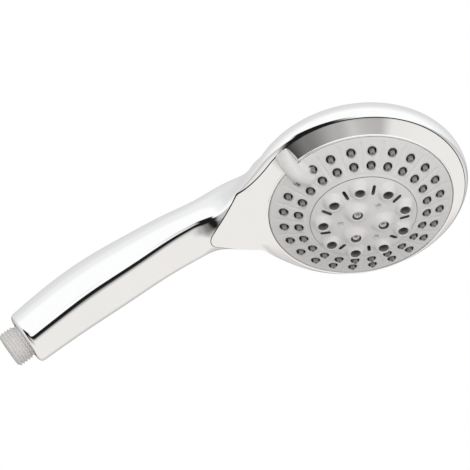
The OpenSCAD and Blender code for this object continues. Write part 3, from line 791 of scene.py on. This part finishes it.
def lever_field(points):
    """Distance outside the lever, in the head's frame; its underside follows the face and the border."""
    x, y, z = np.moveaxis(points, -1, 0)
    u = x * math.cos(lever_way) + y * math.sin(lever_way)
    w = -x * math.sin(lever_way) + y * math.cos(lever_way)
    r = np.hypot(x, y)
    on_face = face_cone(r)
    on_border = face_edge - border_slope * (r - face_radius)
    above = z - on_face
    flare = 3.2 * np.exp(-np.maximum(above, -0.4) / 0.9) * np.clip((51.5 - r) / 2, 0, 1)
    half = 3.6 + 0.04 * (u - lever_inner) + flare
    sides = (np.abs(w - lever_middle) - half) * 0.8
    crest = (z - lever_crest(u)) * 0.7
    ends = np.maximum(lever_inner - u, u - lever_outer)
    body = trim(trim(sides, crest, 4.2), ends, 1.5)
    floor = np.where(r < face_radius - 0.3, on_face - 0.5 - z, on_border + 0.4 - z) * 0.75
    return np.maximum(body, floor)


lever_cell = 0.55
lever_points, lever_quads = skin_of(lever_field, np.array((-58.0, -38, -6)), np.array((-27.0, -12, 12)),
                                    lever_cell)
lever_points, lever_normals = settle(lever_field, lever_points, 2)
lever = mesh_piece("selector_lever_fin", from_head(lever_points), lever_quads,
                   turned(lever_normals)[lever_quads].reshape(-1, 3))
lever.data.materials.append(face_plastic)
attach(lever, "spray_head")
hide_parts("selector_lever")

# ---------------------------------------------------------------------------------------------------------
# Nozzle mat
# One soft grey silicone moulding behind the face. Its 48 hollow cones stand in the wells, a little proud of
# the face so that limescale can be rubbed off them. The ring round each cone's foot is painted near-black as
# the shade deep in its well.
# ---------------------------------------------------------------------------------------------------------
nozzle_profile = [(0.45, -5.2), (2.53, -5.2), (2.53, -0.5), (2.35, -0.6), (2.3, -3.6), (1.7, -3.6),
                  (1.5, -1.0), (1.36, 0.5), (1.24, 1.25), (1.1, 1.6), (0.85, 1.76), (0.6, 1.7), (0.45, 1.4)]
well_shade_radius = 1.65
cone_spokes, mat_spokes = 20, 96
mat_drop, mat_thick = 4.8, 0.8

nozzle_loop = nozzle_profile[::-1]
cone_points, cone_faces = lathe(nozzle_loop, cone_spokes)
mat_points, mat_faces = [], []
for row in (outer_row, inner_row):
    for k in range(24):
        a = (k + 0.5) * sector
        place = np.array((row * math.cos(a), row * math.sin(a), face_cone(row)))
        mat_faces.append(cone_faces + len(mat_points) * len(cone_points))
        mat_points.append(cone_points + place)

# The sheet that joins the cones behind the face
sheet, sheet_quads = polar_sheet(disc_radius + 1, face_radius - 2.5, 3, mat_spokes)
under = sheet.copy()
sheet[:, 2] = face_cone(np.hypot(sheet[:, 0], sheet[:, 1])) - mat_drop
under[:, 2] = sheet[:, 2] - mat_thick
cones, size = len(mat_points), len(sheet)
count = cones * len(cone_points)
last = size - mat_spokes
turn = [(j, (j + 1) % mat_spokes) for j in range(mat_spokes)]
sheet_rims = [(j, k, size + k, size + j) for j, k in turn]
sheet_rims += [(last + k, last + j, size + last + j, size + last + k) for j, k in turn]
mat_faces = np.concatenate(mat_faces + [sheet_quads + count, sheet_quads[:, ::-1] + count + size,
                                        np.array(sheet_rims) + count])
mat_points = from_head(np.concatenate(mat_points + [sheet, under]))
nozzle_mat = mesh_piece("nozzle_mat_rubber", mat_points, mat_faces)
nozzle_mat.data.materials.append(satin_plastic("nozzle_silicone", (0.30, 0.295, 0.288), 0.42, 500))
# The second material is near-black painted shade, given to the profile faces further out than the shade
# radius, deep in each well
nozzle_mat.data.materials.append(satin_plastic("painted_well_shade", (0.035, 0.035, 0.035), 0.6, 500))
for i, (near, far) in enumerate(zip(nozzle_loop, nozzle_loop[1:] + nozzle_loop[:1])):
    if (near[0] + far[0]) / 2 > well_shade_radius:
        for cone in range(cones):
            first = cone * len(cone_faces) + i * cone_spokes
            for polygon in nozzle_mat.data.polygons[first:first + cone_spokes]:
                polygon.material_index = 1
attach(nozzle_mat, "spray_head")
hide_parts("nozzle_mat")

# ---------------------------------------------------------------------------------------------------------
# Centre disc
# A flatter dome in the middle with nine bosses for the bubble jets, three taller ones for the massage jets,
# nine radial slots in the valleys between the bosses and three shallow pits.
# ---------------------------------------------------------------------------------------------------------
jet_start = math.radians(11.5)
jet_row, massage_row, slot_row, pit_row = 23.0, 9.9, 22.3, 13.2
jet_top, massage_top = 14.5, 17.1
jet_hole, massage_hole = 2.8, 2.9
jet_foot, jet_flank = 6.1, 2.9
massage_foot, massage_flank = 7.6, 4.4
slot_half, slot_round = 2.0, 0.95
pit_radius, pit_deep = 1.75, 2.4
disc_dome, disc_thick, disc_play = 5.1, 3.2, 0.1


def spokes_at(x, y, row, count, start):
    """Radial and sideways offset from the nearest of count places on a circle."""
    step = 2 * math.pi / count
    r, a = np.hypot(x, y), np.arctan2(y, x) - start
    a = a - step * np.round(a / step)
    return r * np.cos(a) - row, r * np.sin(a)


def soft_step(t):
    t = np.clip(t, 0, 1)
    return t * t * (3 - 2 * t)


def disc_height(x, y):
    r = np.hypot(x, y)
    z = disc_edge + disc_dome * (1 - (r / disc_radius) ** 2)
    d = np.hypot(*spokes_at(x, y, jet_row, 9, jet_start))
    rise = soft_step((jet_foot - d) / jet_flank)
    z = z * (1 - rise) + jet_top * rise
    z = z + 0.4 * soft_step((5.0 - d) / 0.5) * (1 - soft_step((d - 3.3) / -0.5))
    z = z - 0.3 * np.clip(1 - (d - jet_hole) / 0.5, 0, 1) ** 2
    d = np.hypot(*spokes_at(x, y, massage_row, 3, jet_start + math.pi))
    rise = soft_step((massage_foot - d) / massage_flank)
    z = z * (1 - rise) + massage_top * rise
    z = z - 0.3 * np.clip(1 - (d - massage_hole) / 0.5, 0, 1) ** 2
    d = np.hypot(*spokes_at(x, y, pit_row, 3, jet_start))
    z = z - pit_deep * soft_step((pit_radius - d) / 0.5)
    edge = np.clip(1 - (disc_radius - disc_play - r) / 0.6, 0, 0.98)
    return z - 0.45 * (1 - np.sqrt(1 - edge ** 2))


def disc_open(x, y):
    """Distance outside the nearest opening of the disc."""
    jet = np.hypot(*spokes_at(x, y, jet_row, 9, jet_start)) - jet_hole
    massage = np.hypot(*spokes_at(x, y, massage_row, 3, jet_start + math.pi)) - massage_hole
    u, w = spokes_at(x, y, slot_row, 9, jet_start + math.pi / 9)
    slot = np.hypot(np.maximum(np.abs(u) - slot_half, 0), w) - slot_round
    return np.minimum(np.minimum(jet, massage), slot)


disc_spokes = 240
disc_points, disc_quads = polar_sheet(0.4, disc_radius - disc_play, 66, disc_spokes)
middle = len(disc_points)
fan = np.array([(middle, j, (j + 1) % disc_spokes) for j in range(disc_spokes)])
disc_tris = np.concatenate((disc_quads[:, [0, 1, 2]], disc_quads[:, [0, 2, 3]], fan))
disc_points = np.concatenate((disc_points, [(0.0, 0, 0)]))
disc_points, disc_faces = cut(disc_points, disc_tris, lambda p: -disc_open(p[:, 0], p[:, 1]),
                              onto_circle(disc_open, 0))
centre_disc = height_wall("centre_disc_bosses", disc_points, disc_faces, disc_height, disc_thick)
# Dark grey plastic for the aerator cups, and painted shade on the disc's own walls round its holes, slots and
# edge
cup_and_opening_shade_plastic = satin_plastic("aerator_and_opening_shade_plastic", (0.22, 0.215, 0.21), 0.45, 500)
centre_disc.data.materials.append(face_plastic)
centre_disc.data.materials.append(cup_and_opening_shade_plastic)
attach(centre_disc, "spray_head")
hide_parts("centre_disc")

# ---------------------------------------------------------------------------------------------------------
# Jet inserts and massage nozzles
# Nine aerator cups in dark grey plastic line the bubble jets, and three short tubes in the face's own plastic
# stand in the massage jets. Both are clipped in from behind.
# ---------------------------------------------------------------------------------------------------------
tube_inset = 0.3


def cups(name, profile, count, row, start, top, body_node, plastic):
    """The same turned piece at a number of places on a circle."""
    points, faces = lathe(profile[::-1], 32)
    all_points, all_faces = [], []
    for k in range(count):
        a = start + 2 * math.pi * k / count
        all_faces.append(faces + k * len(points))
        all_points.append(points + np.array((row * math.cos(a), row * math.sin(a), top)))
    piece = mesh_piece(name, from_head(np.concatenate(all_points)), np.concatenate(all_faces))
    piece.data.materials.append(plastic)
    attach(piece, "spray_head")
    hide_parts(body_node)
    return piece


jet_profile = [(2.3, -8.2), (2.75, -8.2), (2.75, -0.7), (2.65, -0.6), (2.5, -0.8), (2.4, -7.3)]
cups("jet_insert_cups", jet_profile, 9, jet_row, jet_start, jet_top, "jet_inserts", cup_and_opening_shade_plastic)
tube_profile = [(1.2, -7.0), (2.0, -7.0), (2.1, -1.7), (1.95, -1.3), (1.65, -1.2), (1.35, -1.35),
                (1.2, -1.6)]
cups("massage_tubes", tube_profile, 3, massage_row - tube_inset, jet_start + math.pi, massage_top,
     "massage_nozzles", face_plastic)

# ---------------------------------------------------------------------------------------------------------
# Inlet
# The threaded stub of light grey acetal that the hose screws on to, G 1/2 with rounded crests and roots, a
# plain collar under the foot of the handle and a plain bore.
# ---------------------------------------------------------------------------------------------------------
thread_radius = 20.955 / 2
thread_pitch = 1.814
thread_depth = 1.16
inlet_low, thread_low, thread_high, inlet_high = 0.0, 0.5, 9.7, 24.0
collar_radius, collar_low, collar_high = 9.6, 9.9, 11.4
inlet_chamfer = 0.5
inlet_bore = 5.6
inlet_spokes = 144


def inlet_mesh():
    heights = np.concatenate((np.linspace(inlet_low, collar_high, 110), [11.6, inlet_high]))
    a = np.linspace(0, 2 * math.pi, inlet_spokes, endpoint=False)
    h, t = np.meshgrid(heights, a, indexing="ij")
    phase = (h / thread_pitch - t / (2 * math.pi)) * 2 * math.pi
    wave = 0.5 + 0.5 * np.cos(phase)
    root = thread_radius - thread_depth
    fade = soft_step((h - thread_low + 0.6) / 1.2) * soft_step((thread_high - h) / 1.2)
    r = root + thread_depth * wave ** 0.5 * fade
    collar = soft_step((h - collar_low) / 0.5)
    r = r * (1 - collar) + collar_radius * collar
    r = r - inlet_chamfer * np.clip(1 - (h - inlet_low) / inlet_chamfer, 0, 1)
    outside = np.stack((r * np.cos(t), r * np.sin(t), h), -1)
    inside = np.stack((inlet_bore * np.cos(t), inlet_bore * np.sin(t), h), -1)
    loop = np.concatenate((outside, inside[::-1]))
    n = len(loop)
    points = loop.reshape(-1, 3)
    i, j = np.meshgrid(np.arange(n), np.arange(inlet_spokes), indexing="ij")
    k, m = (i + 1) % n, (j + 1) % inlet_spokes
    low, high = i * inlet_spokes, k * inlet_spokes
    return points, np.stack((low + j, low + m, high + m, high + j), -1).reshape(-1, 4)


inlet_points, inlet_faces = inlet_mesh()
inlet = mesh_piece("inlet_thread", inlet_points, inlet_faces)
inlet_plastic = satin_plastic("inlet_acetal", (0.83, 0.81, 0.795), 0.5, 160)
inlet_plastic.node_tree.nodes["Bump"].inputs["Strength"].default_value = 0.03
inlet.data.materials.append(inlet_plastic)
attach(inlet, "handset")
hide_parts("inlet_nipple")

# ---------------------------------------------------------------------------------------------------------
# Working parts inside
# Acetal water-way parts, black rubber seals and stainless springs, ball and screws. They are only seen
# through the openings of the face or when the part is taken apart.
# ---------------------------------------------------------------------------------------------------------
def steel_finish():
    """Drawn stainless steel, metallic, with a fine speckled grain in place of the lines from the die."""
    material = satin_plastic("drawn_steel", (0.60, 0.60, 0.61), 0.28, 1400)
    material.node_tree.nodes["Principled BSDF"].inputs["Metallic"].default_value = 1.0
    return material


inside_looks = {
    "engine": satin_plastic("waterway_acetal", (0.72, 0.72, 0.69), 0.45, 600),
    "steel": steel_finish(),
    "seal_rubber": satin_plastic("black_rubber", (0.03, 0.03, 0.032), 0.6, 400),
}

inside_nodes = {
    "engine": ("turbine_plate", "massage_turbine", "port_plate", "pivot_washer", "engine_cover",
               "engine_body", "water_tube", "nipple_clip", "flow_restrictor"),
    "steel": ("turbine_axle", "pivot_screw", "engine_screws", "seal_spring", "detent_ball", "detent_spring",
              "inlet_screen"),
    "seal_rubber": ("pivot_seal", "seal_cup", "tube_seals", "nipple_seal"),
}
for look, names in inside_nodes.items():
    for name in names:
        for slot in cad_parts[name].material_slots:
            slot.material = inside_looks[look]
